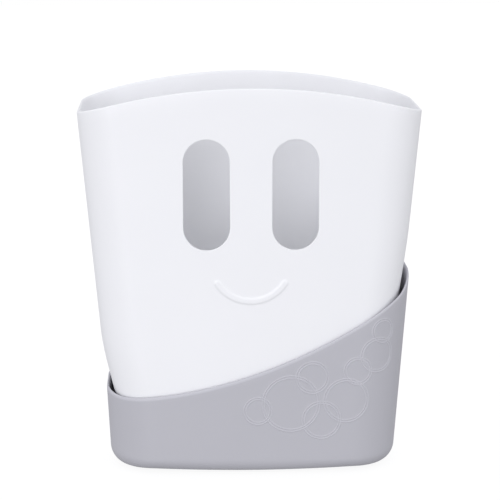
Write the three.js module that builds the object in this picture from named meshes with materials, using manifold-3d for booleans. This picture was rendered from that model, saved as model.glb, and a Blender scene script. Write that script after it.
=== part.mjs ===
// Bath toy organizer: a drying bin that lifts out of a drip base on four rubber feet
// Millimetres and degrees. +Z is up, the front faces -Y, and the origin is under the middle of the rim's box
import * as THREE from 'three';
import { mergeVertices } from 'three/addons/utils/BufferGeometryUtils.js';
import Module from 'manifold-3d';

const wasm = await Module();
wasm.setup();

// Bin: outside form
const RIM_WIDTH = 305;
const RIM_DEPTH = 165;
const OVERALL_HEIGHT = 350;
const RIM_ARCH = 23.5;
const SIDE_DRAFT = 5.2;
const FRONT_DRAFT = 3.9;
const REAR_DRAFT = 3;
const FRONT_CROWN = 7.6;
const REAR_CROWN = 2;
const BIN_CORNER = 34;

// Bin: its sides draw in as they enter the base, from a way above the base's rim to a way below it
const DRAW_IN_LEFT = 8.2;
const DRAW_IN_RIGHT = 3;
const DRAW_IN_ABOVE = 54;
const DRAW_IN_BELOW = 31;

// Bin: walls, floor and the rounding between them
const BIN_WALL = 2.4;
const BIN_FLOOR = 2.6;
const BIN_SIDE_TOE = 40;
const BIN_END_TOE = 20;
const BIN_FLOOR_CORNER = 14;

// Bin: eye slots, smile and drain holes
const EYE_WIDTH = 41;
const EYE_HEIGHT = 99;
const EYE_SPACING = 78;
const EYE_MIDDLE_HEIGHT = 256;
const SMILE_WIDTH = 59.5;
const SMILE_DROP = 16.3;
const SMILE_END_HEIGHT = 176.5;
const SMILE_BAND = 6.4;
const SMILE_PROUD = 1.1;
const DRAIN_DIAMETER = 5;
const DRAIN_ROW_PITCH = 17;
const DRAIN_ROWS = 4;
const DRAINS_PER_BAY = 3;

// Base: clearance round the bin, which stands off to the left in it, and walls
const SEAT_HEIGHT = 36;
const SEAT_CLEARANCE = 0.3;
const NEST_GAP = 2;
const SIDE_GAP = 3.7;
const BIN_SIDE_PLAY = 2.4;
const BASE_WALL = 2.2;
const BASE_FLOOR = 3;
const BASE_LIP_RISE = 2.4;

// Base: outside form, whose sides lean to the right
const BASE_SIDE_DRAFT = 3.55;
const BASE_LEAN = 0.66;
const BASE_CORNER = 43;
const BASE_SIDE_TOE = 16.7;
const BASE_END_TOE = 13;
const BASE_FLOOR_CORNER = 10.4;
const BASE_FLOOR_CROWN = 20.3;

// Base: rim that sweeps up to the right and rises a little more round the corners to the sides
const BASE_RIM_LOW = 70.8;
const BASE_RIM_HIGH = 168.7;
const BASE_RIM_LOW_X = -133.7;
const SIDE_RISE_LEFT = 3.9;
const SIDE_RISE_RIGHT = 9.3;
const SIDE_RISE_START = -52;
const SIDE_RISE_END = -14;

// Base: raised bubble rings, as way along the front and right corner, height and radius, and their bead
const BUBBLES = [
  [2.9, 59.7, 11.6],
  [32.4, 66.1, 24.9],
  [59.9, 50.4, 16.4],
  [51.2, 90, 13.7],
  [81.8, 68.2, 19.2],
  [91.9, 95.3, 11.7],
  [110.1, 109, 15],
  [115.1, 130.9, 10],
];
const BEAD_RADIUS = 0.9;
const BEAD_PROUD = 0.5;

// Base: ribs that carry the bin
const RIB_COUNT = 3;
const RIB_THICKNESS = 2.4;
const RIB_ROUND = 5;
const RIB_EDGE_INSET = 10;

// Feet
const FOOT_DIAMETER = 16;
const FOOT_PROUD = 1.5;
const FOOT_RECESS = 1.5;
const FOOT_CLEARANCE = 0.3;
const FOOT_CHAMFER = 0.8;
const FOOT_SIDE_INSET = 31;
const FOOT_END_INSET = 13;

// Facets
const FRONT_STEPS = 14;
const CORNER_STEPS = 7;
const SIDE_STEPS = 4;
const TOE_STEPS = 5;
const BIN_WALL_STEPS = 9;
const BASE_WALL_STEPS = 2;
const LIP_STEPS = 4;
const RIM_PASSES = 4;
const SLOT_END_SEGMENTS = 14;
const SMILE_STEPS = 24;
const SMILE_SECTION_SEGMENTS = 5;
const BUBBLE_STEPS = 24;
const BEAD_SIDES = 5;
const DRAIN_SIDES = 12;
const FOOT_SIDES = 32;
const ROUND_SEGMENTS = 4;

const { degToRad, lerp, smoothstep } = THREE.MathUtils;
const QUARTER_TURN = Math.PI / 2;
const slope = (draft) => Math.tan(degToRad(draft));

// Stations round a plan outline, anticlockwise from above, starting at the left end of the front
function makeStations() {
  const stations = [];
  const run = (steps, place) => {
    for (let i = 0; i < steps; i += 1) {
      stations.push(place(i / steps));
    }
  };
  const corner = (alongX, alongY, start) => (t) => ({ alongX, alongY, angle: start + t * QUARTER_TURN });
  run(FRONT_STEPS, (t) => ({ alongX: 2 * t - 1, alongY: 0, angle: -QUARTER_TURN }));
  run(CORNER_STEPS, corner(1, 0, -QUARTER_TURN));
  run(SIDE_STEPS, (t) => ({ alongX: 1, alongY: t, angle: 0 }));
  run(CORNER_STEPS, corner(1, 1, 0));
  run(FRONT_STEPS, (t) => ({ alongX: 1 - 2 * t, alongY: 1, angle: QUARTER_TURN }));
  run(CORNER_STEPS, corner(-1, 1, QUARTER_TURN));
  run(SIDE_STEPS, (t) => ({ alongX: -1, alongY: 1 - t, angle: Math.PI }));
  run(CORNER_STEPS, corner(-1, 0, Math.PI));
  return stations;
}
const STATIONS = makeStations();

// Half sizes of the bin's outside at a height
function binSize(z) {
  return {
    side: RIM_WIDTH / 2 + (z - OVERALL_HEIGHT + RIM_ARCH) * slope(SIDE_DRAFT),
    front: RIM_DEPTH / 2 - FRONT_CROWN + (z - OVERALL_HEIGHT) * slope(FRONT_DRAFT),
    rear: RIM_DEPTH / 2 - REAR_CROWN + (z - OVERALL_HEIGHT) * slope(REAR_DRAFT),
  };
}

// Half sizes of the base's outside, whose ends follow the bin's and whose sides have a draft of their own
function baseSize(z) {
  const { front, rear } = binSize(z);
  const foot = binSize(FOOT_PROUD).side + SIDE_GAP + BASE_WALL;
  return {
    side: foot + (z - FOOT_PROUD) * slope(BASE_SIDE_DRAFT),
    front: front + NEST_GAP + BASE_WALL,
    rear: rear + NEST_GAP + BASE_WALL,
  };
}

// Rim heights of the two mouldings over the plan
const binRim = (x) => OVERALL_HEIGHT - RIM_ARCH * (x / (RIM_WIDTH / 2)) ** 2;

function baseRim(x, y) {
  const { side } = baseSize(BASE_RIM_HIGH);
  const sweep = (x - BASE_RIM_LOW_X) / (side - BASE_RIM_LOW_X);
  const across = (x + side) / (2 * side);
  const rise = lerp(SIDE_RISE_LEFT, SIDE_RISE_RIGHT, across) * smoothstep(y, SIDE_RISE_START, SIDE_RISE_END);
  return lerp(BASE_RIM_LOW, BASE_RIM_HIGH, sweep ** 2) + rise;
}

// How far the bin's side lies inside its straight draft at a place
function binDrawIn({ x, y, z }) {
  const below = baseRim(x - BIN_SIDE_PLAY, y) - z;
  const across = (x / binSize(z).side + 1) / 2;
  return lerp(DRAW_IN_LEFT, DRAW_IN_RIGHT, across) * smoothstep(below, -DRAW_IN_ABOVE, DRAW_IN_BELOW);
}

// Skins of the two mouldings: each inner one lies a wall inside its outer one
const binOuter = {
  size: binSize,
  offset: 0,
  corner: BIN_CORNER,
  floorZ: SEAT_HEIGHT,
  toes: { side: BIN_SIDE_TOE, front: BIN_END_TOE, rear: BIN_END_TOE },
  drafts: { side: SIDE_DRAFT, front: FRONT_DRAFT, rear: REAR_DRAFT },
  floorCorner: BIN_FLOOR_CORNER,
  floorCrown: FRONT_CROWN,
  drawIn: binDrawIn,
  shift: () => 0,
};
const baseOuter = {
  size: baseSize,
  offset: 0,
  corner: BASE_CORNER,
  floorZ: FOOT_PROUD,
  toes: { side: BASE_SIDE_TOE, front: BASE_END_TOE, rear: BASE_END_TOE },
  drafts: { side: BASE_SIDE_DRAFT, front: FRONT_DRAFT, rear: REAR_DRAFT },
  floorCorner: BASE_FLOOR_CORNER,
  floorCrown: BASE_FLOOR_CROWN,
  drawIn: () => 0,
  shift: (z) => (z - FOOT_PROUD) * slope(BASE_LEAN),
};

function innerSkin(outer, wall, floor) {
  const { side, front, rear } = outer.toes;
  return {
    ...outer,
    offset: outer.offset - wall,
    floorZ: outer.floorZ + floor,
    toes: { side: side - wall, front: front - wall, rear: rear - wall },
    floorCorner: outer.floorCorner - wall,
  };
}
const binInner = innerSkin(binOuter, BIN_WALL, BIN_FLOOR);
const baseInner = innerSkin(baseOuter, BASE_WALL, BASE_FLOOR);

function wallSize(skin, z) {
  const { side, front, rear } = skin.size(z);
  return { side: side + skin.offset, front: front + skin.offset, rear: rear + skin.offset };
}

// A rounded rectangle whose front and rear bow out towards the middle
function planPoint(station, size, corner, frontCrown, z) {
  const front = size.front + FRONT_CROWN - frontCrown;
  const x = station.alongX * (size.side - corner) + corner * Math.cos(station.angle);
  const flatY = lerp(corner - front, size.rear - corner, station.alongY) + corner * Math.sin(station.angle);
  const bow = 1 - (x / size.side) ** 2;
  const crown = flatY < 0 ? frontCrown / front : REAR_CROWN / size.rear;
  return new THREE.Vector3(x, flatY * (1 + crown * bow), z);
}

// A point of a skin, drawn in and shifted sideways as the skin is there
function skinPoint(skin, station, size, corner, frontCrown, z) {
  const straight = planPoint(station, size, corner, frontCrown, z);
  const side = size.side - skin.drawIn(straight);
  const point = planPoint(station, { ...size, side }, corner, frontCrown, z);
  point.x += skin.shift(z);
  return point;
}

function wallPoint(skin, station, z) {
  return skinPoint(skin, station, wallSize(skin, z), skin.corner + skin.offset, FRONT_CROWN, z);
}

// A point of a skin's front face or right corner, by its way along them and its height
function facePoint(skin, along, z) {
  const corner = skin.corner + skin.offset;
  const straight = wallSize(skin, z).side - corner;
  const turn = Math.max(along - straight, 0) / corner;
  return wallPoint(skin, { alongX: Math.min(along / straight, 1), alongY: 0, angle: turn - QUARTER_TURN }, z);
}

// A point of a skin a given drop below the rim, found by repeating because the walls lean
function rimPoint(skin, station, rim, drop) {
  let point = wallPoint(skin, station, OVERALL_HEIGHT / 2);
  for (let pass = 0; pass < RIM_PASSES; pass += 1) {
    point = wallPoint(skin, station, rim(point.x, point.y) - drop);
  }
  return point;
}

// The arc that turns a floor up into a leaning wall, as half size and height at a share of its turn
function toeArc(skin, side, share) {
  const radius = skin.toes[side];
  const lean = degToRad(skin.drafts[side]);
  const turn = share * (QUARTER_TURN - lean);
  const endZ = skin.floorZ + radius * (1 - Math.sin(lean));
  const centre = wallSize(skin, endZ)[side] - radius * Math.cos(lean);
  return { half: centre + radius * Math.sin(turn), z: skin.floorZ + radius * (1 - Math.cos(turn)) };
}

function toeArcs(skin, share) {
  const [side, front, rear] = ['side', 'front', 'rear'].map((name) => toeArc(skin, name, share));
  return { side, front, rear, size: { side: side.half, front: front.half, rear: rear.half } };
}

function toeHeight(arcs, station) {
  const end = Math.sin(station.angle) < 0 ? arcs.front : arcs.rear;
  return lerp(end.z, arcs.side.z, Math.cos(station.angle) ** 2);
}

function toeRing(skin, share) {
  const arcs = toeArcs(skin, share);
  const turned = Math.sin(share * QUARTER_TURN);
  const corner = lerp(skin.floorCorner, skin.corner + skin.offset, turned);
  const crown = lerp(skin.floorCrown, FRONT_CROWN, turned);
  return STATIONS.map((station) => {
    const z = toeHeight(arcs, station);
    return skinPoint(skin, station, arcs.size, corner, crown, z);
  });
}

function wallRing(skin, rim, lipRise, share) {
  const arcs = toeArcs(skin, 1);
  return STATIONS.map((station) => {
    const top = rimPoint(skin, station, rim, lipRise);
    return wallPoint(skin, station, lerp(toeHeight(arcs, station), top.z, share));
  });
}

function lipRing(outer, inner, rim, lipRise, angle) {
  const half = (outer.offset - inner.offset) / 2;
  const skin = { ...outer, offset: outer.offset - half * (1 - Math.cos(angle)) };
  return STATIONS.map((station) => rimPoint(skin, station, rim, lipRise * (1 - Math.sin(angle))));
}

// A closed skin through rings of points, closed at both ends by fans round their middles
function loft(rings) {
  const count = STATIONS.length;
  const points = rings.flat();
  const index = [];
  for (let ring = 0; ring + 1 < rings.length; ring += 1) {
    for (let i = 0; i < count; i += 1) {
      const a = ring * count + i;
      const b = ring * count + ((i + 1) % count);
      index.push(a, b, b + count, a, b + count, a + count);
    }
  }
  const middle = (ring) => new THREE.Box3().setFromPoints(ring).getCenter(new THREE.Vector3());
  const first = points.push(middle(rings[0])) - 1;
  const last = points.push(middle(rings[rings.length - 1])) - 1;
  const lastRing = (rings.length - 1) * count;
  for (let i = 0; i < count; i += 1) {
    const next = (i + 1) % count;
    index.push(first, next, i, last, lastRing + i, lastRing + next);
  }
  const geometry = new THREE.BufferGeometry().setFromPoints(points);
  geometry.setIndex(index);
  return geometry;
}

// An open tub with a rounded lip between its outer and inner skins
function tub(outer, inner, rim, lipRise, wallSteps) {
  const rings = [];
  for (let i = 0; i <= TOE_STEPS; i += 1) {
    rings.push(toeRing(outer, i / TOE_STEPS));
  }
  for (let i = 1; i <= wallSteps; i += 1) {
    rings.push(wallRing(outer, rim, lipRise, i / wallSteps));
  }
  for (let i = 1; i < LIP_STEPS; i += 1) {
    rings.push(lipRing(outer, inner, rim, lipRise, (i / LIP_STEPS) * Math.PI));
  }
  for (let i = wallSteps; i >= 1; i -= 1) {
    rings.push(wallRing(inner, rim, lipRise, i / wallSteps));
  }
  for (let i = TOE_STEPS; i >= 0; i -= 1) {
    rings.push(toeRing(inner, i / TOE_STEPS));
  }
  return solidOf(loft(rings));
}

// Closed geometry to solid and back, for cuts and joins
function solidOf(geometry) {
  geometry.deleteAttribute('normal');
  geometry.deleteAttribute('uv');
  const merged = mergeVertices(geometry);
  const vertProperties = new Float32Array(merged.attributes.position.array);
  const triVerts = new Uint32Array(merged.index.array);
  return new wasm.Manifold(new wasm.Mesh({ numProp: 3, vertProperties, triVerts }));
}

function geometryOf(solid) {
  const { vertProperties, triVerts } = solid.getMesh();
  const geometry = new THREE.BufferGeometry();
  geometry.setAttribute('position', new THREE.BufferAttribute(new Float32Array(vertProperties), 3));
  geometry.setIndex(new THREE.BufferAttribute(new Uint32Array(triVerts), 1));
  const faceted = geometry.toNonIndexed();
  faceted.computeVertexNormals();
  return faceted;
}

function upright(shape, thickness, curveSegments) {
  const plate = new THREE.ExtrudeGeometry(shape, { depth: thickness, bevelEnabled: false, curveSegments });
  return plate.translate(0, 0, -thickness / 2).rotateX(QUARTER_TURN);
}

function post(radius, bottom, top, sides) {
  const cylinder = new THREE.CylinderGeometry(radius, radius, top - bottom, sides);
  return cylinder.rotateX(QUARTER_TURN).translate(0, 0, (bottom + top) / 2);
}

// Ribs stand under the flat of the bin's floor, and the drain holes fall in the bays between them
const binFlat = toeArcs(binOuter, 0);
const ribReach = binFlat.side.half - Math.max(DRAW_IN_LEFT, DRAW_IN_RIGHT) - RIB_EDGE_INSET;
const ribSpacing = (2 * ribReach) / (RIB_COUNT - 1);
const ribX = (i) => i * ribSpacing - ribReach;
const ribHalfLength = Math.min(binFlat.front.half, binFlat.rear.half) - RIB_EDGE_INSET / 2;

function eyeSlot(x) {
  const radius = EYE_WIDTH / 2;
  const straight = EYE_HEIGHT / 2 - radius;
  const outline = new THREE.Shape();
  outline.absarc(0, straight, radius, 0, Math.PI);
  outline.absarc(0, -straight, radius, Math.PI, 2 * Math.PI);
  const cutter = upright(outline, RIM_DEPTH / 2, SLOT_END_SEGMENTS);
  return solidOf(cutter.translate(x, -RIM_DEPTH / 2, EYE_MIDDLE_HEIGHT));
}

// A raised band along an arc laid on the front face, with rounded ends
function smile() {
  const half = SMILE_WIDTH / 2;
  const radius = (half ** 2 + SMILE_DROP ** 2) / (2 * SMILE_DROP);
  const halfAngle = Math.asin(half / radius);
  const centreZ = SMILE_END_HEIGHT + radius - SMILE_DROP;
  const path = [];
  for (let i = 0; i <= SMILE_STEPS; i += 1) {
    const angle = lerp(-halfAngle, halfAngle, i / SMILE_STEPS);
    const x = radius * Math.sin(angle);
    const z = centreZ - radius * Math.cos(angle);
    path.push(facePoint(binOuter, x, z));
  }
  const section = new THREE.Shape().absellipse(0, 0, SMILE_PROUD, SMILE_BAND / 2, 0, 2 * Math.PI);
  const band = new THREE.ExtrudeGeometry(section, {
    steps: SMILE_STEPS,
    curveSegments: SMILE_SECTION_SEGMENTS,
    extrudePath: new THREE.CatmullRomCurve3(path),
  });
  let solid = solidOf(band);
  for (const end of [path[0], path[SMILE_STEPS]]) {
    const cap = new THREE.SphereGeometry(1, 2 * SMILE_SECTION_SEGMENTS, 2 * SMILE_SECTION_SEGMENTS);
    cap.scale(SMILE_BAND / 2, SMILE_PROUD, SMILE_BAND / 2).translate(end.x, end.y, end.z);
    solid = solid.add(solidOf(cap));
  }
  return solid;
}

function drainHoles() {
  const bottom = SEAT_HEIGHT - BIN_FLOOR;
  const top = SEAT_HEIGHT + 2 * BIN_FLOOR;
  const holes = [];
  for (let bay = 0; bay + 1 < RIB_COUNT; bay += 1) {
    for (let column = 0; column < DRAINS_PER_BAY; column += 1) {
      for (let row = 0; row < DRAIN_ROWS; row += 1) {
        const hole = post(DRAIN_DIAMETER / 2, bottom, top, DRAIN_SIDES);
        const x = ribX(bay + (column + 0.5) / DRAINS_PER_BAY);
        const y = (row - (DRAIN_ROWS - 1) / 2) * DRAIN_ROW_PITCH;
        holes.push(solidOf(hole.translate(x, y, 0)));
      }
    }
  }
  return holes;
}

function dryingBin() {
  let bin = tub(binOuter, binInner, binRim, BIN_WALL / 2, BIN_WALL_STEPS).add(smile());
  for (const side of [-1, 1]) {
    bin = bin.subtract(eyeSlot((side * EYE_SPACING) / 2));
  }
  for (const hole of drainHoles()) {
    bin = bin.subtract(hole);
  }
  return bin;
}

// A standing rib with rounded upper ends, rooted in the base's floor
function rib() {
  const root = FOOT_PROUD + BASE_FLOOR / 2;
  const top = SEAT_HEIGHT - SEAT_CLEARANCE;
  const shape = new THREE.Shape();
  shape.moveTo(-ribHalfLength, root);
  shape.lineTo(ribHalfLength, root);
  shape.absarc(ribHalfLength - RIB_ROUND, top - RIB_ROUND, RIB_ROUND, 0, QUARTER_TURN);
  shape.absarc(RIB_ROUND - ribHalfLength, top - RIB_ROUND, RIB_ROUND, QUARTER_TURN, Math.PI);
  return upright(shape, RIB_THICKNESS, ROUND_SEGMENTS).rotateZ(QUARTER_TURN);
}

// A raised ring laid on the base's front face and right corner
function bubbleRing([along, z, radius]) {
  const sunk = { ...baseOuter, offset: BEAD_PROUD - BEAD_RADIUS };
  const path = [];
  for (let i = 0; i < BUBBLE_STEPS; i += 1) {
    const angle = (i / BUBBLE_STEPS) * 2 * Math.PI;
    path.push(facePoint(sunk, along + radius * Math.cos(angle), z + radius * Math.sin(angle)));
  }
  const curve = new THREE.CatmullRomCurve3(path, true);
  return solidOf(new THREE.TubeGeometry(curve, BUBBLE_STEPS, BEAD_RADIUS, BEAD_SIDES, true));
}

// Foot places, named by corner, a way in from the edges of the flat underside
function footPlace(name, side, end) {
  const { size } = toeArcs(baseOuter, 0);
  const alongX = (side * (size.side - FOOT_SIDE_INSET)) / (size.side - BASE_FLOOR_CORNER);
  const station = { alongX, alongY: (end + 1) / 2, angle: end * QUARTER_TURN };
  const edge = planPoint(station, size, BASE_FLOOR_CORNER, BASE_FLOOR_CROWN, 0);
  return [name, edge.x, edge.y - end * FOOT_END_INSET];
}
const footPlaces = [
  footPlace('foot_front_left', -1, -1),
  footPlace('foot_front_right', 1, -1),
  footPlace('foot_rear_left', -1, 1),
  footPlace('foot_rear_right', 1, 1),
];

function dripBase() {
  let base = tub(baseOuter, baseInner, baseRim, BASE_LIP_RISE, BASE_WALL_STEPS);
  for (const bubble of BUBBLES) {
    base = base.add(bubbleRing(bubble));
  }
  for (let i = 0; i < RIB_COUNT; i += 1) {
    base = base.add(solidOf(rib().translate(ribX(i), 0, 0)));
  }
  for (const [, x, y] of footPlaces) {
    const recess = post(FOOT_DIAMETER / 2 + FOOT_CLEARANCE, 0, FOOT_PROUD + FOOT_RECESS, FOOT_SIDES);
    base = base.subtract(solidOf(recess.translate(x, y, 0)));
  }
  return base;
}

function footGeometry() {
  const radius = FOOT_DIAMETER / 2;
  const thickness = FOOT_PROUD + FOOT_RECESS;
  const profile = [
    new THREE.Vector2(0, 0),
    new THREE.Vector2(radius - FOOT_CHAMFER, 0),
    new THREE.Vector2(radius, FOOT_CHAMFER),
    new THREE.Vector2(radius, thickness),
    new THREE.Vector2(0, thickness),
  ];
  return new THREE.LatheGeometry(profile, FOOT_SIDES).rotateX(QUARTER_TURN);
}

// Finishes
const whitePlastic = new THREE.MeshStandardMaterial({ color: 0xf1f2f6, roughness: 0.45, metalness: 0 });
const greyPlastic = new THREE.MeshStandardMaterial({ color: 0xb8b8c1, roughness: 0.55, metalness: 0 });
const footRubber = new THREE.MeshStandardMaterial({ color: 0x6a6b72, roughness: 0.9, metalness: 0 });

// Assembly
function piece(name, geometry, material) {
  const mesh = new THREE.Mesh(geometry, material);
  mesh.name = name;
  return mesh;
}

const organizer = new THREE.Group();
organizer.add(piece('drying_bin', geometryOf(dryingBin()), whitePlastic));

const baseGroup = new THREE.Group();
baseGroup.position.x = BIN_SIDE_PLAY;
baseGroup.add(piece('drip_base', geometryOf(dripBase()), greyPlastic));
for (const [name, x, y] of footPlaces) {
  const foot = piece(name, footGeometry(), footRubber);
  foot.position.set(x, y, 0);
  baseGroup.add(foot);
}
organizer.add(baseGroup);

export default organizer;
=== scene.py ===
"""Looks of the bath toy organizer: a satin white drying bin in a matte grey drip base on rubber feet.

Metres. +Z is up and the front faces -Y. The mouldings are closed meshes made from the same kind of
surfaces as the solids: rings of points round a drafted plan outline, with denser patches where slots,
holes and raised lines lie.
"""

import math
from collections.abc import Callable
from dataclasses import dataclass, replace

import bpy
import numpy as np
from mathutils import Matrix, Quaternion, Vector
from mathutils.geometry import delaunay_2d_cdt
from mathutils.kdtree import KDTree


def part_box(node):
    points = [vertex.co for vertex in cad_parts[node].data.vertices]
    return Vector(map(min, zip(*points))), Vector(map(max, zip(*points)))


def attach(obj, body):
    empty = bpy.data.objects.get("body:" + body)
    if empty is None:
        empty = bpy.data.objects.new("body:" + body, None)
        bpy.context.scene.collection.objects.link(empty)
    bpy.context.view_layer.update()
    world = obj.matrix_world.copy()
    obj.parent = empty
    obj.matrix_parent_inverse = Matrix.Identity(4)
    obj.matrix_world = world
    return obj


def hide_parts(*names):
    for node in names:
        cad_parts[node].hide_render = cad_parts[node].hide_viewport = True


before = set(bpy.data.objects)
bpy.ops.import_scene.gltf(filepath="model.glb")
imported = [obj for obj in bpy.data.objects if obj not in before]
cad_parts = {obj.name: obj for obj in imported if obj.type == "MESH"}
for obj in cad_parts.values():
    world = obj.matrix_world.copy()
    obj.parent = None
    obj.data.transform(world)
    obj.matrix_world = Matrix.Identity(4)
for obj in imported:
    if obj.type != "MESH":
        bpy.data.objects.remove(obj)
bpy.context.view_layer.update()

# Places and sizes taken from the imported parts
FEET = ("foot_front_left", "foot_front_right", "foot_rear_left", "foot_rear_right")
FOOT_BOXES = [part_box(name) for name in FEET]
BIN_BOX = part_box("drying_bin")
OVERALL_HEIGHT = BIN_BOX[1].z
SEAT_HEIGHT = BIN_BOX[0].z
FOOT_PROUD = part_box("drip_base")[0].z
FOOT_TOP = FOOT_BOXES[0][1].z
FOOT_RADIUS = (FOOT_BOXES[0][1].x - FOOT_BOXES[0][0].x) / 2
FOOT_PLACES = [(low + high) / 2 for low, high in FOOT_BOXES]
BASE_SHIFT = sum(place.x for place in FOOT_PLACES) / len(FOOT_PLACES)

# Bin: outside form, whose sides draw in as they enter the base, walls and floor
RIM_WIDTH = 0.305
RIM_DEPTH = 0.165
RIM_ARCH = 0.0235
SIDE_DRAFT = math.radians(5.2)
FRONT_DRAFT = math.radians(3.9)
REAR_DRAFT = math.radians(3)
FRONT_CROWN = 0.0076
REAR_CROWN = 0.002
BIN_CORNER = 0.034
DRAW_IN_LEFT = 0.0082
DRAW_IN_RIGHT = 0.003
DRAW_IN_ABOVE = 0.054
DRAW_IN_BELOW = 0.031
BIN_WALL = 0.0024
BIN_LIP_RISES = (0.0012, 0.0032)
BIN_FLOOR = 0.0026
BIN_SIDE_TOE = 0.040
BIN_END_TOE = 0.020
BIN_FLOOR_CORNER = 0.014

# Bin: eye slots, smile and drain holes
EYE_WIDTH = 0.041
EYE_HEIGHT = 0.099
EYE_SPACING = 0.078
EYE_MIDDLE_HEIGHT = 0.256
EYE_EDGE_ROUND = 0.0003
SMILE_WIDTH = 0.0595
SMILE_DROP = 0.0163
SMILE_END_HEIGHT = 0.1765
SMILE_HALF_FLAT = 0.0014
SMILE_HALF_BAND = 0.0038
SMILE_PROUD = 0.00085
DRAIN_RADIUS = 0.0025
DRAIN_ROW_PITCH = 0.017
DRAIN_ROWS = 4
DRAINS_PER_BAY = 3
DRAIN_EDGE_ROUND = 0.0006

# Base: clearance round the bin, walls, outside form, swept rim and ribs
NEST_GAP = 0.002
SIDE_GAP = 0.0037
BASE_WALL = 0.0022
BASE_FLOOR = 0.003
BASE_LIP_RISES = (0.0034, 0.0024)
BASE_SIDE_DRAFT = math.radians(3.55)
BASE_LEAN = math.radians(0.66)
BASE_CORNER = 0.043
BASE_SIDE_TOE = 0.0167
BASE_END_TOE = 0.013
BASE_FLOOR_CORNER = 0.0104
BASE_FLOOR_CROWN = 0.0203
BASE_RIM_LOW = 0.0698
BASE_RIM_HIGH = 0.1662
BASE_RIM_LOW_X = -0.1337
SIDE_RISE_LEFT = 0.0049
SIDE_RISE_RIGHT = 0.0118
SIDE_RISE_START = -0.052
SIDE_RISE_END = -0.014
RIB_COUNT = 3
RIB_THICKNESS = 0.0024
RIB_ROUND = 0.005
RIB_EDGE_INSET = 0.010
RIB_EDGE_ROUND = 0.0005
RIB_ROOT_FILLET = 0.0015
SEAT_CLEARANCE = 0.0003
WELL_CLEARANCE = 0.0003
WELL_EDGE_ROUND = 0.0004

# Base: bubbles, as way along the front and right corner, height and radius, and their paired lines
BUBBLES = (
    (0.0029, 0.0597, 0.0116),
    (0.0324, 0.0661, 0.0249),
    (0.0599, 0.0504, 0.0164),
    (0.0512, 0.0900, 0.0137),
    (0.0818, 0.0682, 0.0192),
    (0.0919, 0.0953, 0.0117),
    (0.1101, 0.1090, 0.0150),
    (0.1151, 0.1309, 0.0100),
)
LINE_SPACING = 0.0021
LINE_HALF_WIDTH = 0.0008
LINE_PROUD = 0.0004

# Feet
FOOT_EDGE_ROUND = 0.0008
FOOT_GROOVES = (0.0022, 0.0047)
FOOT_GROOVE_HALF = 0.0005
FOOT_GROOVE_DEPTH = 0.0004

# Mesh density
FRONT_STEPS = 56
CORNER_STEPS = 20
SIDE_STEPS = 14
TOE_STEPS = 12
WALL_ROWS = 28
LIP_STEPS = 10
RIM_PASSES = 5
EDGE_STEPS = 5
SLOT_ARC_STEPS = 36
SLOT_SIDE_STEPS = 20
SMILE_STEPS = 56
SMILE_CAP_STEPS = 14
BUBBLE_STEPS = 84
DRAIN_STEPS = 24
RIB_ARC_STEPS = 12
RIB_SIDE_STEPS = 14
WELL_STEPS = 48
GUARD = 0.0004
PATCH_SPACING = 0.004
FLOOR_SPACING = 0.008
CLEAR_SHARE = 0.55
MERGE_DISTANCE = 1e-8
NORMAL_STEP = 1e-5
WITHIN_CONSTRAINTS = 1
FACE_STATIONS = (10, FRONT_STEPS - 10)
FACE_ROWS = (8, 25)
BUBBLE_STATIONS = (24, FRONT_STEPS + 12)
BUBBLE_ROWS = (2, WALL_ROWS)
SHARP_ANGLE = math.radians(40)

# Finishes: how far roughness and tone drift over a surface
ROUGHNESS_DRIFT = 0.05
TONE_DRIFT = 0.015

# Studio: the floor, the light's tint and the slopes between which the world's levels change
FLOOR_HALF = 6.0
FLOOR_TONE = 0.12
FLOOR_GLOW = 0.89
FLOOR_ROUGHNESS = 0.9
LIGHT_TINT = (0.966, 0.969, 1.0)
HORIZON_BAND = 0.3
OVERHEAD_START = 0.35
OVERHEAD_FULL = 0.85

# Camera at the photograph's viewing angle
CAMERA_PLACE = Vector((-0.06299, -1.98868, 0.55436))
CAMERA_FORWARD = Vector((0.0318, 0.98346, -0.17833))
CAMERA_ROLL = math.radians(-0.15)
CAMERA_LENS = 159.84
CAMERA_SENSOR = 36
CAMERA_CLIP = 50

QUARTER_TURN = math.pi / 2


# Stations round a plan outline, anticlockwise from above, starting at the left end of the front
def make_stations():
    rows = []

    def run(steps, place):
        rows.extend(place(i / steps) for i in range(steps))

    def corner(along_x, along_y, start):
        return lambda t: (along_x, along_y, start + t * QUARTER_TURN)

    run(FRONT_STEPS, lambda t: (2 * t - 1, 0, -QUARTER_TURN))
    run(CORNER_STEPS, corner(1, 0, -QUARTER_TURN))
    run(SIDE_STEPS, lambda t: (1, t, 0))
    run(CORNER_STEPS, corner(1, 1, 0))
    run(FRONT_STEPS, lambda t: (1 - 2 * t, 1, QUARTER_TURN))
    run(CORNER_STEPS, corner(-1, 1, QUARTER_TURN))
    run(SIDE_STEPS, lambda t: (-1, 1 - t, math.pi))
    run(CORNER_STEPS, corner(-1, 0, math.pi))
    return np.array(rows, float).T


STATIONS = make_stations()


def smooth_step(value, start, end):
    """Goes smoothly from 0 at a start to 1 at an end."""
    share = np.clip((value - start) / (end - start), 0, 1)
    return share ** 2 * (3 - 2 * share)


def bin_sizes(z):
    """Half sizes of the bin's outside at a height: side, front and rear."""
    side = RIM_WIDTH / 2 + (z - OVERALL_HEIGHT + RIM_ARCH) * math.tan(SIDE_DRAFT)
    front = RIM_DEPTH / 2 - FRONT_CROWN + (z - OVERALL_HEIGHT) * math.tan(FRONT_DRAFT)
    rear = RIM_DEPTH / 2 - REAR_CROWN + (z - OVERALL_HEIGHT) * math.tan(REAR_DRAFT)
    return side, front, rear


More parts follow.
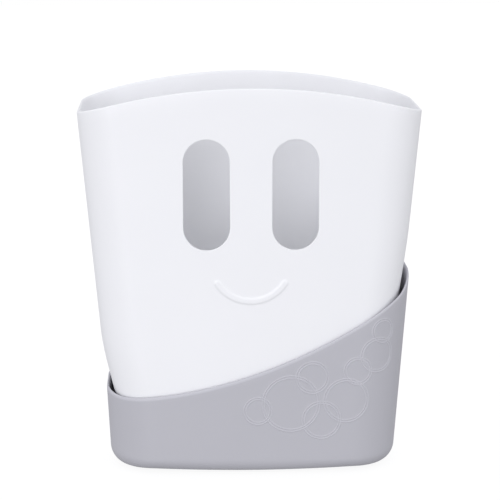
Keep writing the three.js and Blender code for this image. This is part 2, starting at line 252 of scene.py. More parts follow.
def base_sizes(z):
    """Half sizes of the base's outside, whose ends follow the bin's and whose sides have their own draft."""
    _, front, rear = bin_sizes(z)
    foot = bin_sizes(FOOT_PROUD)[0] + SIDE_GAP + BASE_WALL
    side = foot + (z - FOOT_PROUD) * math.tan(BASE_SIDE_DRAFT)
    return side, front + NEST_GAP + BASE_WALL, rear + NEST_GAP + BASE_WALL


def bin_rim(x, y):
    """Height of the bin's arched rim, which is the same from front to rear."""
    return OVERALL_HEIGHT - RIM_ARCH * (x / (RIM_WIDTH / 2)) ** 2


def base_rim(x, y):
    """Height of the base's rim, which sweeps up to the right and rises a little round the corners."""
    side = base_sizes(BASE_RIM_HIGH)[0]
    sweep = (x - BASE_RIM_LOW_X) / (side - BASE_RIM_LOW_X)
    across = (x + side) / (2 * side)
    rise = SIDE_RISE_LEFT + (SIDE_RISE_RIGHT - SIDE_RISE_LEFT) * across
    rise = rise * smooth_step(y, SIDE_RISE_START, SIDE_RISE_END)
    return BASE_RIM_LOW + (BASE_RIM_HIGH - BASE_RIM_LOW) * sweep ** 2 + rise


def bin_draw_in(points):
    """How far the bin's sides lie inside their straight draft at some places."""
    x, y, z = points.T
    below = base_rim(x - BASE_SHIFT, y) - z
    across = (x / bin_sizes(z)[0] + 1) / 2
    full = DRAW_IN_LEFT + (DRAW_IN_RIGHT - DRAW_IN_LEFT) * across
    return full * smooth_step(below, -DRAW_IN_ABOVE, DRAW_IN_BELOW)


def no_draw_in(points):
    return np.zeros(len(points))


def plan_points(stations, sizes, corner, front_crown, z):
    """Points of a rounded rectangle whose front and rear bow out towards the middle, one a station."""
    along_x, along_y, angle = stations
    side, front, rear = sizes
    front = front + FRONT_CROWN - front_crown
    x = along_x * (side - corner) + corner * np.cos(angle)
    flat_y = (1 - along_y) * (corner - front) + along_y * (rear - corner) + corner * np.sin(angle)
    crown = np.where(flat_y < 0, front_crown / front, REAR_CROWN / rear)
    y = flat_y * (1 + crown * (1 - (x / side) ** 2))
    return np.column_stack([x, y, np.broadcast_to(z, x.shape)])


@dataclass(frozen=True, eq=False)
class Skin:
    """One face of a moulding: its sizes by height, corners, floor, the rounding between them and its lean."""

    sizes: Callable
    drafts: tuple
    corner: float
    floor: float
    toes: tuple
    floor_corner: float
    floor_crown: float
    draw_in: Callable
    lean: float
    offset: float = 0.0

    def inner(self, wall, floor):
        """The skin that lies a wall inside this one, with its floor higher up."""
        return replace(
            self,
            offset=self.offset - wall,
            corner=self.corner - wall,
            floor=self.floor + floor,
            toes=tuple(radius - wall for radius in self.toes),
            floor_corner=self.floor_corner - wall,
        )

    def sizes_at(self, z):
        return tuple(size + self.offset for size in self.sizes(z))

    def points(self, stations, sizes, corner, front_crown, z):
        """Points of a plan outline, drawn in at the sides and leaned over."""
        straight = plan_points(stations, sizes, corner, front_crown, z)
        drawn = (sizes[0] - self.draw_in(straight), *sizes[1:])
        points = plan_points(stations, drawn, corner, front_crown, z)
        points[:, 0] += (points[:, 2] - FOOT_PROUD) * math.tan(self.lean)
        return points

    def wall(self, stations, z):
        return self.points(stations, self.sizes_at(z), self.corner, FRONT_CROWN, z)

    def rim_ring(self, rim, drop):
        """The ring a given drop below a rim, found by repeating because the walls lean."""
        z = np.full(STATIONS.shape[1], OVERALL_HEIGHT / 2)
        for _ in range(RIM_PASSES):
            ring = self.wall(STATIONS, z)
            z = rim(ring[:, 0], ring[:, 1]) - drop
        return self.wall(STATIONS, z)

    def toe_arcs(self, share):
        """Half sizes and heights at a share of the arcs that turn the floor up into the walls."""
        halves = []
        heights = []
        for axis, (radius, draft) in enumerate(zip(self.toes, self.drafts)):
            turn = share * (QUARTER_TURN - draft)
            end_z = self.floor + radius * (1 - math.sin(draft))
            centre = self.sizes_at(end_z)[axis] - radius * math.cos(draft)
            halves.append(centre + radius * math.sin(turn))
            heights.append(self.floor + radius * (1 - math.cos(turn)))
        return halves, heights

    def toe_ring(self, share):
        """A ring at a share of the way from the floor's edge to the end of the toe."""
        halves, (side_z, front_z, rear_z) = self.toe_arcs(share)
        angle = STATIONS[2]
        end_z = np.where(np.sin(angle) < 0, front_z, rear_z)
        z = end_z + (side_z - end_z) * np.cos(angle) ** 2
        turned = math.sin(share * QUARTER_TURN)
        corner = self.floor_corner + (self.corner - self.floor_corner) * turned
        crown = self.floor_crown + (FRONT_CROWN - self.floor_crown) * turned
        return self.points(STATIONS, halves, corner, crown, z)

    def wall_row(self, top, share):
        """A ring at a share of the way from the end of the toe to the top of the wall."""
        bottom = self.toe_ring(1)[:, 2]
        return self.wall(STATIONS, bottom + (top[:, 2] - bottom) * share)

    def unrolled(self, numbers, z):
        """Way along the front and round its right corner of some stations at their heights."""
        along_x, _, angle = STATIONS[:, numbers]
        straight = self.sizes_at(z)[0] - self.corner
        return along_x * straight + self.corner * (angle + QUARTER_TURN)

    def on_front(self, along, z):
        """Points of the front face and its right corner at ways along them."""
        straight = self.sizes_at(z)[0] - self.corner
        turn = np.maximum(along - straight, 0) / self.corner
        return self.wall((np.minimum(along / straight, 1), 0, turn - QUARTER_TURN), z)

    def front_normals(self, along, z):
        run = self.on_front(along + NORMAL_STEP, z) - self.on_front(along - NORMAL_STEP, z)
        rise = self.on_front(along, z + NORMAL_STEP) - self.on_front(along, z - NORMAL_STEP)
        normals = np.cross(run, rise)
        return normals / np.linalg.norm(normals, axis=1, keepdims=True)


BIN_OUTER = Skin(
    sizes=bin_sizes,
    drafts=(SIDE_DRAFT, FRONT_DRAFT, REAR_DRAFT),
    corner=BIN_CORNER,
    floor=SEAT_HEIGHT,
    toes=(BIN_SIDE_TOE, BIN_END_TOE, BIN_END_TOE),
    floor_corner=BIN_FLOOR_CORNER,
    floor_crown=FRONT_CROWN,
    draw_in=bin_draw_in,
    lean=0.0,
)
BASE_OUTER = Skin(
    sizes=base_sizes,
    drafts=(BASE_SIDE_DRAFT, FRONT_DRAFT, REAR_DRAFT),
    corner=BASE_CORNER,
    floor=FOOT_PROUD,
    toes=(BASE_SIDE_TOE, BASE_END_TOE, BASE_END_TOE),
    floor_corner=BASE_FLOOR_CORNER,
    floor_crown=BASE_FLOOR_CROWN,
    draw_in=no_draw_in,
    lean=BASE_LEAN,
)
BIN_INNER = BIN_OUTER.inner(BIN_WALL, BIN_FLOOR)
BASE_INNER = BASE_OUTER.inner(BASE_WALL, BASE_FLOOR)


# Closed rows of points in a flat region
def circle(x, y, radius, steps):
    turns = np.linspace(0, 2 * math.pi, steps, endpoint=False)
    return np.column_stack([x + radius * np.cos(turns), y + radius * np.sin(turns)])


def stadium(x, y, radius, straight, arc_steps, side_steps):
    """Two half circles joined by straight sides, whose half length is given."""
    turns = np.linspace(0, math.pi, arc_steps + 1)
    sides = np.linspace(straight, -straight, side_steps + 1)[1:-1]
    top = np.column_stack([radius * np.cos(turns), straight + radius * np.sin(turns)])
    left = np.column_stack([np.full(len(sides), -radius), sides])
    half = np.vstack([top, left])
    return np.vstack([half, -half]) + (x, y)


def slot_outline(x, z, grow):
    """An eye slot's outline, grown outwards."""
    straight = (EYE_HEIGHT - EYE_WIDTH) / 2
    return stadium(x, z, EYE_WIDTH / 2 + grow, straight, SLOT_ARC_STEPS, SLOT_SIDE_STEPS)


SMILE_RADIUS = ((SMILE_WIDTH / 2) ** 2 + SMILE_DROP ** 2) / (2 * SMILE_DROP)
SMILE_HALF_ANGLE = math.asin(SMILE_WIDTH / 2 / SMILE_RADIUS)
SMILE_CENTRE_Z = SMILE_END_HEIGHT + SMILE_RADIUS - SMILE_DROP


def smile_arc(radius, steps):
    turns = np.linspace(-SMILE_HALF_ANGLE, SMILE_HALF_ANGLE, steps + 1)
    return np.column_stack([radius * np.sin(turns), SMILE_CENTRE_Z - radius * np.cos(turns)])


def smile_outline(reach):
    """The closed line that runs round the smile's arc at a distance from it."""
    outer = smile_arc(SMILE_RADIUS + reach, SMILE_STEPS)
    inner = smile_arc(SMILE_RADIUS - reach, SMILE_STEPS)[::-1]
    end_x, end_z = smile_arc(SMILE_RADIUS, 1)[1]
    turns = SMILE_HALF_ANGLE - QUARTER_TURN + np.linspace(0, math.pi, SMILE_CAP_STEPS + 1)[1:-1]
    cap = np.column_stack([end_x + reach * np.cos(turns), end_z + reach * np.sin(turns)])
    far_cap = (cap * (-1, 1))[::-1]
    return np.vstack([outer, cap, inner, far_cap])


def smile_relief(along, z):
    """Height of the smile's bead over the wall."""
    turn = np.arctan2(along, SMILE_CENTRE_Z - z)
    turn = np.clip(turn, -SMILE_HALF_ANGLE, SMILE_HALF_ANGLE)
    arc_x = SMILE_RADIUS * np.sin(turn)
    arc_z = SMILE_CENTRE_Z - SMILE_RADIUS * np.cos(turn)
    gap = np.hypot(along - arc_x, z - arc_z)
    return SMILE_PROUD * (1 - smooth_step(gap, SMILE_HALF_FLAT, SMILE_HALF_BAND))


def bubble_relief(along, z):
    """Height of the pair of fine lines that draws each bubble."""
    relief = np.zeros(len(along))
    for middle, height, radius in BUBBLES:
        off_ring = np.abs(np.hypot(along - middle, z - height) - radius)
        off_line = np.abs(off_ring - LINE_SPACING / 2)
        relief = np.maximum(relief, LINE_PROUD * (1 - smooth_step(off_line, 0, LINE_HALF_WIDTH)))
    return relief


def no_relief(along, z):
    return np.zeros(len(along))


def inside(places, border):
    """Which places lie inside a closed border."""
    result = np.zeros(len(places), bool)
    for (x0, y0), (x1, y1) in zip(border, np.roll(border, -1, axis=0)):
        if y0 == y1:
            continue
        crosses = (y0 > places[:, 1]) != (y1 > places[:, 1])
        result ^= crosses & (places[:, 0] < x0 + (places[:, 1] - y0) * (x1 - x0) / (y1 - y0))
    return result


def spread(border, loops, spacing):
    """Places in staggered rows that fill a border and keep clear of it and of the loops."""
    fixed = np.vstack([border, *loops])
    tree = KDTree(len(fixed))
    for i, (x, y) in enumerate(fixed):
        tree.insert((x, y, 0), i)
    tree.balance()
    low, high = border.min(axis=0), border.max(axis=0)
    rows = []
    for k, y in enumerate(np.arange(low[1], high[1], spacing * math.sin(math.pi / 3))):
        x = np.arange(low[0] + (k % 2) * spacing / 2, high[0], spacing)
        rows.append(np.column_stack([x, np.full(len(x), y)]))
    places = np.vstack(rows)
    places = places[inside(places, border)]
    is_clear = [tree.find((x, y, 0))[2] > spacing * CLEAR_SHARE for x, y in places]
    return places[np.array(is_clear, bool)]


class Mould:
    """Points and faces of one closed moulding, gathered patch by patch, and how far each point is raised."""

    def __init__(self):
        self.points = []
        self.raised = []
        self.faces = []

    def add(self, points, raised=None):
        """Adds points and returns their numbers."""
        first = len(self.points)
        self.points.extend(tuple(point) for point in points)
        self.raised.extend(np.zeros(len(points)) if raised is None else raised)
        return np.arange(first, len(self.points))

    def add_level(self, row, z):
        """Adds a flat row of points at a height and returns their numbers."""
        return self.add(np.column_stack([row, np.full(len(row), z)]))

    def strip(self, low, high, skip=()):
        """Joins two closed rows by quads, apart from the steps to skip."""
        for i in range(len(low)):
            j = (i + 1) % len(low)
            if i not in skip:
                self.faces.append((low[i], low[j], high[j], high[i]))

    def join(self, chain):
        """Joins each closed row of a chain to the next."""
        for low, high in zip(chain, chain[1:]):
            self.strip(low, high)

    def fill(self, border, flat, holes, lines, spacing, lift, flip, relief=no_relief):
        """Covers a region with triangles that follow its border, holes and lines, lifted to the surface.

        border holds the numbers of the points round it and flat their places. The holes stay open, and the
        numbers of their points are returned.
        """
        loops = [*holes, *lines]
        scattered = spread(flat, loops, spacing)
        places = np.vstack([flat, *loops, scattered])
        edges = []
        first = 0
        for row in (flat, *loops):
            count = len(row)
            edges.extend((first + i, first + (i + 1) % count) for i in range(count))
            first += count
        given = [Vector(place) for place in places]
        found = delaunay_2d_cdt(given, edges, [], WITHIN_CONSTRAINTS, MERGE_DISTANCE)
        made, _, faces, sources, _, _ = found
        made = np.array([tuple(place) for place in made])
        faces = np.array(faces)
        middles = made[faces].mean(axis=1)
        for hole in holes:
            within = inside(middles, hole)
            faces, middles = faces[~within], middles[~within]
        source_of = [min(source, default=-1) for source in sources]
        numbers = np.array([border[s] if 0 <= s < len(border) else -1 for s in source_of])
        fresh = np.zeros(len(made), bool)
        fresh[faces.ravel()] = True
        fresh &= numbers < 0
        numbers[fresh] = self.add(lift(made[fresh]), relief(*made[fresh].T))
        a, b, c = (made[faces[:, k]] for k in range(3))
        area = (b[:, 0] - a[:, 0]) * (c[:, 1] - a[:, 1]) - (b[:, 1] - a[:, 1]) * (c[:, 0] - a[:, 0])
        turned = (area < 0) != flip
        faces = np.where(turned[:, None], faces[:, ::-1], faces)
        self.faces.extend(map(tuple, numbers[faces]))
        number_of = {s: n for source, n in zip(sources, numbers) for s in source}
        first = len(flat)
        result = []
        for hole in holes:
            result.append([number_of[first + i] for i in range(len(hole))])
            first += len(hole)
        return result

    def fill_level(self, border, flat, holes, z, flip):
        """Covers a level region, and returns the point numbers of its holes."""

        def lift(places):
            return np.column_stack([places, np.full(len(places), z)])

        return self.fill(border, flat, holes, [], FLOOR_SPACING, lift, flip)

    def mesh(self, name):
        mesh = bpy.data.meshes.new(name)
        points = [tuple(map(float, point)) for point in self.points]
        faces = [tuple(map(int, face)) for face in self.faces]
        mesh.from_pydata(points, [], faces)
        mesh.update()
        mesh.attributes.new("raised", "FLOAT", "POINT").data.foreach_set("value", self.raised)
        return mesh


def border_of(stations, rows):
    """The points round a block of rings as (row, station) pairs, anticlockwise as seen from outside."""
    (left, right), (low, high) = stations, rows
    bottom = [(low, i) for i in range(left, right)]
    right_side = [(k, right) for k in range(low, high)]
    top = [(high, i) for i in range(right, left, -1)]
    left_side = [(k, left) for k in range(high, low, -1)]
    return bottom + right_side + top + left_side


class Tub:
    """An open tub with a rounded lip, as rings from its underside over the lip to its floor.

    lip_rises says how far below the rim the lip's rounding starts outside and ends inside. The lip is marked
    as raised as a bubble's line, so that the grey finish paints it lighter alike, as a painted highlight.
    """

    def __init__(self, outer, inner, rim, lip_rises):
        self.mould = Mould()
        half = (outer.offset - inner.offset) / 2
        tops = {skin: skin.rim_ring(rim, rise) for skin, rise in zip((outer, inner), lip_rises)}
        toes = np.linspace(0, 1, TOE_STEPS + 1)
        shares = np.linspace(0, 1, WALL_ROWS + 1)[1:]
        rings = [outer.toe_ring(share) for share in toes]
        rings += [outer.wall_row(tops[outer], share) for share in shares]
        for angle in np.linspace(0, math.pi, LIP_STEPS + 1)[1:-1]:
            between = outer.inner(half * (1 - math.cos(angle)), 0)
            rise = lip_rises[angle > QUARTER_TURN]
            rings.append(between.rim_ring(rim, rise * (1 - math.sin(angle))))
        rings += [inner.wall_row(tops[inner], share) for share in shares[::-1]]
        rings += [inner.toe_ring(share) for share in toes[::-1]]
        self.rings = rings
        # The lip's rings are marked like a bubble's line, so that they get the grey's painted highlight
        lip_start = TOE_STEPS + WALL_ROWS + 1
        lip = range(lip_start, lip_start + LIP_STEPS - 1)
        raised = [np.full(len(ring), LINE_PROUD * (k in lip)) for k, ring in enumerate(rings)]
        self.numbers = [self.mould.add(ring, height) for ring, height in zip(rings, raised)]
        self.outer_start = TOE_STEPS
        self.inner_start = len(rings) - 1 - TOE_STEPS
        self.open_blocks = []

    def front_patch(self, skin, stations, rows, holes, lines, relief):
        """Replaces a block of the front wall by a finer patch, and returns the point numbers of its holes."""
        is_outer = skin.offset == 0
        row_number = (lambda k: self.outer_start + k) if is_outer else (lambda k: self.inner_start - k)
        pairs = [(row_number(k), i) for k, i in border_of(stations, rows)]
        points = np.array([self.rings[k][i] for k, i in pairs])
        numbers = [self.numbers[k][i] for k, i in pairs]
        along = skin.unrolled(np.array([i for _, i in pairs]), points[:, 2])
        flat = np.column_stack([along, points[:, 2]])

        def lift(places):
            surface = skin.on_front(places[:, 0], places[:, 1])
            height = relief(places[:, 0], places[:, 1])
            return surface + skin.front_normals(places[:, 0], places[:, 1]) * height[:, None]

        block = sorted(row_number(k) for k in rows)
        self.open_blocks.append((range(*block), range(*stations)))
        flip = not is_outer
        return self.mould.fill(numbers, flat, holes, lines, PATCH_SPACING, lift, flip, relief)

    def close_walls(self):
        """Joins the rings by quads wherever no patch lies."""
        for k in range(len(self.rings) - 1):
            skip = {i for rows, stations in self.open_blocks if k in rows for i in stations}
            self.mould.strip(self.numbers[k], self.numbers[k + 1], skip)

    def fill_floor(self, ring, holes, flip):
        """Covers the floor inside a ring, and returns the point numbers of its holes."""
        points = self.rings[ring]
        return self.mould.fill_level(self.numbers[ring], points[:, :2], holes, points[0, 2], flip)


def edge_rows(radius):
    """Growth and depth of each row of a rounded edge, from the face into the hole."""
    turns = np.linspace(0, QUARTER_TURN, EDGE_STEPS + 1)
    return [(radius * (1 - math.sin(turn)), radius * (1 - math.cos(turn))) for turn in turns]


def rib_places():
    """X of each rib that carries the bin, round the base's own middle."""
    (side, _, _), _ = BIN_OUTER.toe_arcs(0)
    reach = side - max(DRAW_IN_LEFT, DRAW_IN_RIGHT) - RIB_EDGE_INSET
    return np.linspace(-reach, reach, RIB_COUNT)


# Bin
def drain_places():
    """X and Y of each drain hole, in rows between the ribs."""
    ribs = rib_places()
    for bay in range(RIB_COUNT - 1):
        for column in range(DRAINS_PER_BAY):
            x = ribs[bay] + (ribs[bay + 1] - ribs[bay]) * (column + 0.5) / DRAINS_PER_BAY
            for row in range(DRAIN_ROWS):
                yield x, (row - (DRAIN_ROWS - 1) / 2) * DRAIN_ROW_PITCH


def add_face(tub):
    """Cuts the eye slots through the front wall, with rounded edges, and raises the smile on it."""
    middles = [-EYE_SPACING / 2, EYE_SPACING / 2]
    rows = edge_rows(EYE_EDGE_ROUND)
    edges = [slot_outline(x, EYE_MIDDLE_HEIGHT, EYE_EDGE_ROUND) for x in middles]
    guards = [slot_outline(x, EYE_MIDDLE_HEIGHT, EYE_EDGE_ROUND + GUARD) for x in middles]
    falls = np.linspace(SMILE_HALF_FLAT, SMILE_HALF_BAND, EDGE_STEPS + 2)
    reaches = [SMILE_HALF_FLAT / 2, *falls, SMILE_HALF_BAND + GUARD]
    lines = guards + [smile_outline(reach) for reach in reaches]
    outside = tub.front_patch(BIN_OUTER, FACE_STATIONS, FACE_ROWS, edges, lines, smile_relief)
    within = tub.front_patch(BIN_INNER, FACE_STATIONS, FACE_ROWS, edges, guards, no_relief)
    for k, x in enumerate(middles):
        chain = [outside[k]]
        for skin, sign, steps in ((BIN_OUTER, 1, rows[1:]), (BIN_INNER, -1, rows[:0:-1])):
            for grow, depth in steps:
                outline = slot_outline(x, EYE_MIDDLE_HEIGHT, grow)
                points = skin.on_front(outline[:, 0], outline[:, 1])
                points[:, 1] += sign * depth
                chain.append(tub.mould.add(points))
        chain.append(within[k])
        tub.mould.join(chain)


def add_drained_floor(tub):
    """Covers the floor on both faces and joins them through the drain holes."""
    places = list(drain_places())
    rows = edge_rows(DRAIN_EDGE_ROUND)
    edges = [circle(x, y, DRAIN_RADIUS + DRAIN_EDGE_ROUND, DRAIN_STEPS) for x, y in places]
    under = tub.fill_floor(0, edges, flip=True)
    upper = tub.fill_floor(len(tub.rings) - 1, edges, flip=False)
    for k, (x, y) in enumerate(places):
        chain = [upper[k]]
        for level, sign, steps in ((BIN_INNER.floor, -1, rows[1:]), (BIN_OUTER.floor, 1, rows[:0:-1])):
            for grow, depth in steps:
                ring = circle(x, y, DRAIN_RADIUS + grow, DRAIN_STEPS)
                chain.append(tub.mould.add_level(ring, level + sign * depth))
        chain.append(under[k])
        tub.mould.join(chain)


def bin_mesh():
    tub = Tub(BIN_OUTER, BIN_INNER, bin_rim, BIN_LIP_RISES)
    add_face(tub)
    add_drained_floor(tub)
    tub.close_walls()
    return tub.mould.mesh("bin_shell")


# Base
def add_bubbles(tub):
    """Raises the bubbles on the front wall and its right corner."""
    steps = np.linspace(-LINE_HALF_WIDTH, LINE_HALF_WIDTH, 2 * EDGE_STEPS - 1)
    across = [*steps, LINE_HALF_WIDTH + GUARD]
    reaches = [side * (LINE_SPACING / 2 + step) for side in (-1, 1) for step in across]
    lines = [
        circle(middle, height, radius + reach, BUBBLE_STEPS)
        for middle, height, radius in BUBBLES
        for reach in reaches
    ]
    tub.front_patch(BASE_OUTER, BUBBLE_STATIONS, BUBBLE_ROWS, [], lines, bubble_relief)


def add_foot_wells(tub):
    """Sinks a shallow round well for each foot into the underside."""
    radius = FOOT_RADIUS + WELL_CLEARANCE
    places = [(place.x - BASE_SHIFT, place.y) for place in FOOT_PLACES]
    edges = [circle(x, y, radius + WELL_EDGE_ROUND, WELL_STEPS) for x, y in places]
    mouths = tub.fill_floor(0, edges, flip=True)
    for (x, y), mouth in zip(places, mouths):
        chain = [mouth]
        for grow, depth in edge_rows(WELL_EDGE_ROUND)[1:]:
            ring = circle(x, y, radius + grow, WELL_STEPS)
            chain.append(tub.mould.add_level(ring, FOOT_PROUD + depth))
        chain.append(tub.mould.add_level(circle(x, y, radius, WELL_STEPS), FOOT_TOP))
        tub.mould.join(chain[::-1])
        tub.mould.faces.append(tuple(chain[-1][::-1]))


def rib_rows():
    """Half length, half thickness and height of each row of a rib, from its root to its top."""
    (_, front, rear), _ = BIN_OUTER.toe_arcs(0)
    half_length = min(front, rear) - RIB_EDGE_INSET / 2
    half_thickness = RIB_THICKNESS / 2
    top = SEAT_HEIGHT - SEAT_CLEARANCE
    rows = []
    for turn in np.linspace(0, QUARTER_TURN, EDGE_STEPS + 1):
        flare = RIB_ROOT_FILLET * (1 - math.sin(turn))
        rise = RIB_ROOT_FILLET * (1 - math.cos(turn))
        rows.append((half_length + flare, half_thickness + flare, BASE_INNER.floor + rise))
    for turn in np.linspace(0, QUARTER_TURN, 2 * EDGE_STEPS + 1):
        drop = RIB_ROUND * (1 - math.sin(turn))
        sink = max(RIB_EDGE_ROUND - drop, 0)
        narrow = RIB_EDGE_ROUND - math.sqrt(RIB_EDGE_ROUND ** 2 - sink ** 2)
        shorten = RIB_ROUND * (1 - math.cos(turn))
        rows.append((half_length - shorten, half_thickness - narrow, top - drop))
    return rows


def rib_outline(x, half_length, half_thickness):
    return stadium(x, 0, half_thickness, half_length - half_thickness, RIB_ARC_STEPS, RIB_SIDE_STEPS)


def add_ribbed_floor(tub):
    """Covers the floor and stands on it the ribs that carry the bin, flared below and rounded on top."""
    rows = rib_rows()
    places = rib_places()
    feet = [rib_outline(x, *rows[0][:2]) for x in places]
    roots = tub.fill_floor(len(tub.rings) - 1, feet, flip=False)
    for x, root in zip(places, roots):
        chain = [root]
        for half_length, half_thickness, z in rows[1:]:
            outline = rib_outline(x, half_length, half_thickness)
            chain.append(tub.mould.add_level(outline, z))
        tub.mould.join(chain)
        tub.mould.fill_level(chain[-1], outline, [], z, flip=False)


def base_mesh():
    tub = Tub(BASE_OUTER, BASE_INNER, base_rim, BASE_LIP_RISES)
    add_bubbles(tub)
    add_foot_wells(tub)
    add_ribbed_floor(tub)
    tub.close_walls()
    return tub.mould.mesh("base_shell")


# Feet
def foot_profile():
    """Radius and height along a foot's section, from the middle of its sole to the middle of its top."""
    profile = [(0, 0)]
    for groove in FOOT_GROOVES:
        for turn in np.linspace(0, math.pi, EDGE_STEPS + 2):
            x = groove - FOOT_GROOVE_HALF * math.cos(turn)
            profile.append((x, FOOT_GROOVE_DEPTH * math.sin(turn)))
    for turn in np.linspace(0, QUARTER_TURN, EDGE_STEPS + 1):
        x = FOOT_RADIUS - FOOT_EDGE_ROUND * (1 - math.sin(turn))
        profile.append((x, FOOT_EDGE_ROUND * (1 - math.cos(turn))))
    for turn in np.linspace(0, QUARTER_TURN, EDGE_STEPS + 1):
        x = FOOT_RADIUS - WELL_EDGE_ROUND * (1 - math.cos(turn))
        profile.append((x, FOOT_TOP - WELL_EDGE_ROUND * (1 - math.sin(turn))))
    profile.append((0, FOOT_TOP))
    return profile


def foot_mesh(name, place):
    """A round rubber foot turned about its own axis, with grip grooves in its sole."""
    mould = Mould()
    profile = foot_profile()
    chain = []
    for radius, z in profile[1:-1]:
        chain.append(mould.add_level(circle(place.x, place.y, radius, WELL_STEPS), z))
    mould.join(chain)
    sole = mould.add([(place.x, place.y, profile[0][1])])[0]
    top = mould.add([(place.x, place.y, profile[-1][1])])[0]
    for i in range(WELL_STEPS):
        j = (i + 1) % WELL_STEPS
        mould.faces.append((sole, chain[0][j], chain[0][i]))
        mould.faces.append((top, chain[-1][i], chain[-1][j]))
    return mould.mesh(name)


# Finishes
def add_node(tree, kind, **inputs):
    """A new node with some of its inputs set, whose names have underscores for spaces."""
    node = tree.nodes.new(kind)
    for name, value in inputs.items():
        node.inputs[name.replace("_", " ")].default_value = value
    return node


def moulded(name, colour, roughness, grain, grain_height, blotch, painted_highlight=0.0):
    """A moulded finish: fine grain as bump, with roughness and tone that drift slightly over the surface.

    The last argument is the share by which raised lines and the marked lip are painted lighter: a painted
    highlight where light would catch them.
    """
    material = bpy.data.materials.new(name)
    material.use_nodes = True
    tree = material.node_tree
    shader = tree.nodes["Principled BSDF"]
    place = tree.nodes.new("ShaderNodeTexCoord").outputs["Object"]
    fine = add_node(tree, "ShaderNodeTexNoise", Scale=1 / grain, Detail=3.0, Roughness=0.6)
    drift = add_node(tree, "ShaderNodeTexNoise", Scale=1 / blotch, Detail=4.0, Roughness=0.55)
    for texture in (fine, drift):
        tree.links.new(place, texture.inputs["Vector"])
    bump = add_node(tree, "ShaderNodeBump", Strength=1.0, Distance=grain_height)
    tree.links.new(fine.outputs["Fac"], bump.inputs["Height"])
    tree.links.new(bump.outputs["Normal"], shader.inputs["Normal"])
    rough_ends = {"To_Min": roughness - ROUGHNESS_DRIFT, "To_Max": roughness + ROUGHNESS_DRIFT}
    rough = add_node(tree, "ShaderNodeMapRange", **rough_ends)
    tree.links.new(drift.outputs["Fac"], rough.inputs["Value"])
    tree.links.new(rough.outputs["Result"], shader.inputs["Roughness"])
    tone = tree.nodes.new("ShaderNodeValToRGB")
    for element, factor in zip(tone.color_ramp.elements, (1 - TONE_DRIFT, 1 + TONE_DRIFT)):
        element.color = (*(min(channel * factor, 1) for channel in colour), 1)
    tree.links.new(drift.outputs["Fac"], tone.inputs["Fac"])
    finish = tone.outputs["Color"]
    # Painted highlight: raised lines and the marked lip are painted lighter, as if light caught them
    if painted_highlight:
        raised = tree.nodes.new("ShaderNodeAttribute")
        raised.attribute_name = "raised"
        lighter = add_node(tree, "ShaderNodeMapRange", From_Max=LINE_PROUD, To_Min=1.0, To_Max=1 + painted_highlight)
        highlight_tint = tree.nodes.new("ShaderNodeHueSaturation")
        tree.links.new(raised.outputs["Fac"], lighter.inputs["Value"])
        tree.links.new(lighter.outputs["Result"], highlight_tint.inputs["Value"])
        tree.links.new(finish, highlight_tint.inputs["Color"])
        finish = highlight_tint.outputs["Color"]
    tree.links.new(finish, shader.inputs["Base Color"])
    return material


WHITE_PLASTIC = moulded(
    "white_plastic",
    colour=(0.9, 0.903, 0.922),
    roughness=0.42,
    grain=0.0005,
    grain_height=0.000012,
    blotch=0.07,
)
GREY_PLASTIC = moulded(
    "grey_plastic",
    colour=(0.49, 0.487, 0.525),
    roughness=0.5,
    grain=0.0006,
    grain_height=0.00003,
    blotch=0.05,
    # Painted highlight on the grey's raised lines and lip
    painted_highlight=0.11,
)
FOOT_RUBBER = moulded(
    "foot_rubber",
    colour=(0.145, 0.148, 0.168),
    roughness=0.85,
    grain=0.0004,
    grain_height=0.00006,
    blotch=0.01,
)


# Pieces
def place_piece(mesh, name, material, node, body):
    """Adds a smooth piece that rides on a body in place of a node."""
    mesh.materials.append(material)
    mesh.polygons.foreach_set("use_smooth", [True] * len(mesh.polygons))
    mesh.set_sharp_from_angle(angle=SHARP_ANGLE)
    piece = bpy.data.objects.new(name, mesh)
    bpy.context.collection.objects.link(piece)
    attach(piece, body)
    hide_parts(node)


base = base_mesh()
base.transform(Matrix.Translation((BASE_SHIFT, 0, 0)))
place_piece(bin_mesh(), "bin_shell", WHITE_PLASTIC, "drying_bin", "bin")
place_piece(base, "base_shell", GREY_PLASTIC, "drip_base", "base")
for node, place in zip(FEET, FOOT_PLACES):
    pad = node.replace("foot", "foot_pad")
    place_piece(foot_mesh(pad, place), pad, FOOT_RUBBER, node, "base")


# Studio
def soft_sun(name, towards, spread_degrees, strength):
    """A broad even light from a direction, so that the floor is lit alike all over."""
    light = bpy.data.lights.new(name, "SUN")
    light.angle = math.radians(spread_degrees)
    light.energy = strength
    light.color = LIGHT_TINT
    lamp = bpy.data.objects.new(name, light)
    lamp.rotation_mode = "QUATERNION"
    lamp.rotation_quaternion = (-Vector(towards)).to_track_quat("-Z", "Y")
    bpy.context.collection.objects.link(lamp)


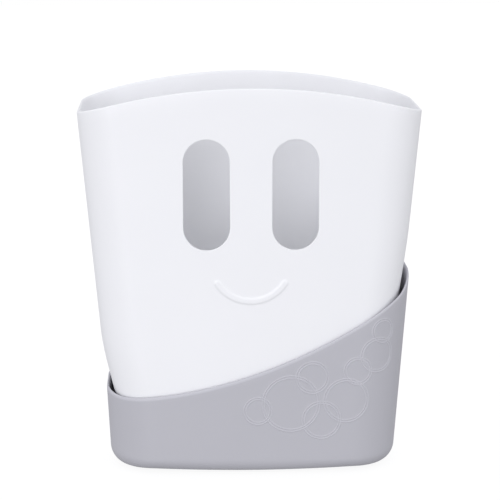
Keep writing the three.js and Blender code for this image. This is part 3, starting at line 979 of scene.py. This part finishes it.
def studio_world(below, around, overhead):
    """White as the camera sees it; as a light it has levels of its own below, around and overhead."""
    horizon = {"From_Min": -HORIZON_BAND, "From_Max": HORIZON_BAND, "To_Min": below, "To_Max": around}
    zenith = {"From_Min": OVERHEAD_START, "From_Max": OVERHEAD_FULL, "To_Max": overhead - around}
    world = bpy.data.worlds.new("studio")
    world.use_nodes = True
    tree = world.node_tree
    tree.nodes.clear()
    direction = tree.nodes.new("ShaderNodeTexCoord").outputs["Generated"]
    split = tree.nodes.new("ShaderNodeSeparateXYZ")
    level = add_node(tree, "ShaderNodeMapRange", **horizon)
    change = add_node(tree, "ShaderNodeMapRange", **zenith)
    total = tree.nodes.new("ShaderNodeMath")
    seen = add_node(tree, "ShaderNodeBackground", Color=(1, 1, 1, 1), Strength=1.0)
    lit = add_node(tree, "ShaderNodeBackground", Color=(*LIGHT_TINT, 1))
    path = tree.nodes.new("ShaderNodeLightPath")
    mix = tree.nodes.new("ShaderNodeMixShader")
    out = tree.nodes.new("ShaderNodeOutputWorld")
    tree.links.new(direction, split.inputs[0])
    for socket, part in zip(total.inputs, (level, change)):
        tree.links.new(split.outputs["Z"], part.inputs["Value"])
        tree.links.new(part.outputs["Result"], socket)
    tree.links.new(total.outputs[0], lit.inputs["Strength"])
    tree.links.new(path.outputs["Is Camera Ray"], mix.inputs[0])
    tree.links.new(lit.outputs[0], mix.inputs[1])
    tree.links.new(seen.outputs[0], mix.inputs[2])
    tree.links.new(mix.outputs[0], out.inputs[0])
    bpy.context.scene.world = world


def studio_floor():
    """A pale floor that glows a little, so that it is as white as the world round it."""
    mesh = bpy.data.meshes.new("floor")
    corners = [(x * FLOOR_HALF, y * FLOOR_HALF, 0) for x, y in ((-1, -1), (1, -1), (1, 1), (-1, 1))]
    mesh.from_pydata(corners, [], [range(len(corners))])
    material = bpy.data.materials.new("floor")
    material.use_nodes = True
    shader = material.node_tree.nodes["Principled BSDF"]
    shader.inputs["Base Color"].default_value = (FLOOR_TONE, FLOOR_TONE, FLOOR_TONE, 1)
    shader.inputs["Roughness"].default_value = FLOOR_ROUGHNESS
    shader.inputs["Emission Color"].default_value = (1, 1, 1, 1)
    shader.inputs["Emission Strength"].default_value = FLOOR_GLOW
    mesh.materials.append(material)
    floor = bpy.data.objects.new("floor", mesh)
    floor.visible_diffuse = False
    floor.visible_glossy = False
    floor.visible_shadow = False
    bpy.context.collection.objects.link(floor)


studio_world(below=0.42, around=1.08, overhead=0.8)
studio_floor()
soft_sun("front_left", towards=(-0.4, -1.0, 0.05), spread_degrees=40, strength=0.95)
soft_sun("right", towards=(1.0, -0.5, 0.3), spread_degrees=50, strength=0.2)
bpy.context.scene.view_settings.view_transform = "Standard"

# Camera
camera = bpy.data.objects.new("camera", bpy.data.cameras.new("camera"))
camera.data.lens = CAMERA_LENS
camera.data.sensor_width = CAMERA_SENSOR
camera.data.clip_end = CAMERA_CLIP
camera.location = CAMERA_PLACE
camera.rotation_mode = "QUATERNION"
upright = CAMERA_FORWARD.to_track_quat("-Z", "Y")
camera.rotation_quaternion = upright @ Quaternion((0, 0, 1), CAMERA_ROLL)
bpy.context.collection.objects.link(camera)
bpy.context.scene.camera = camera
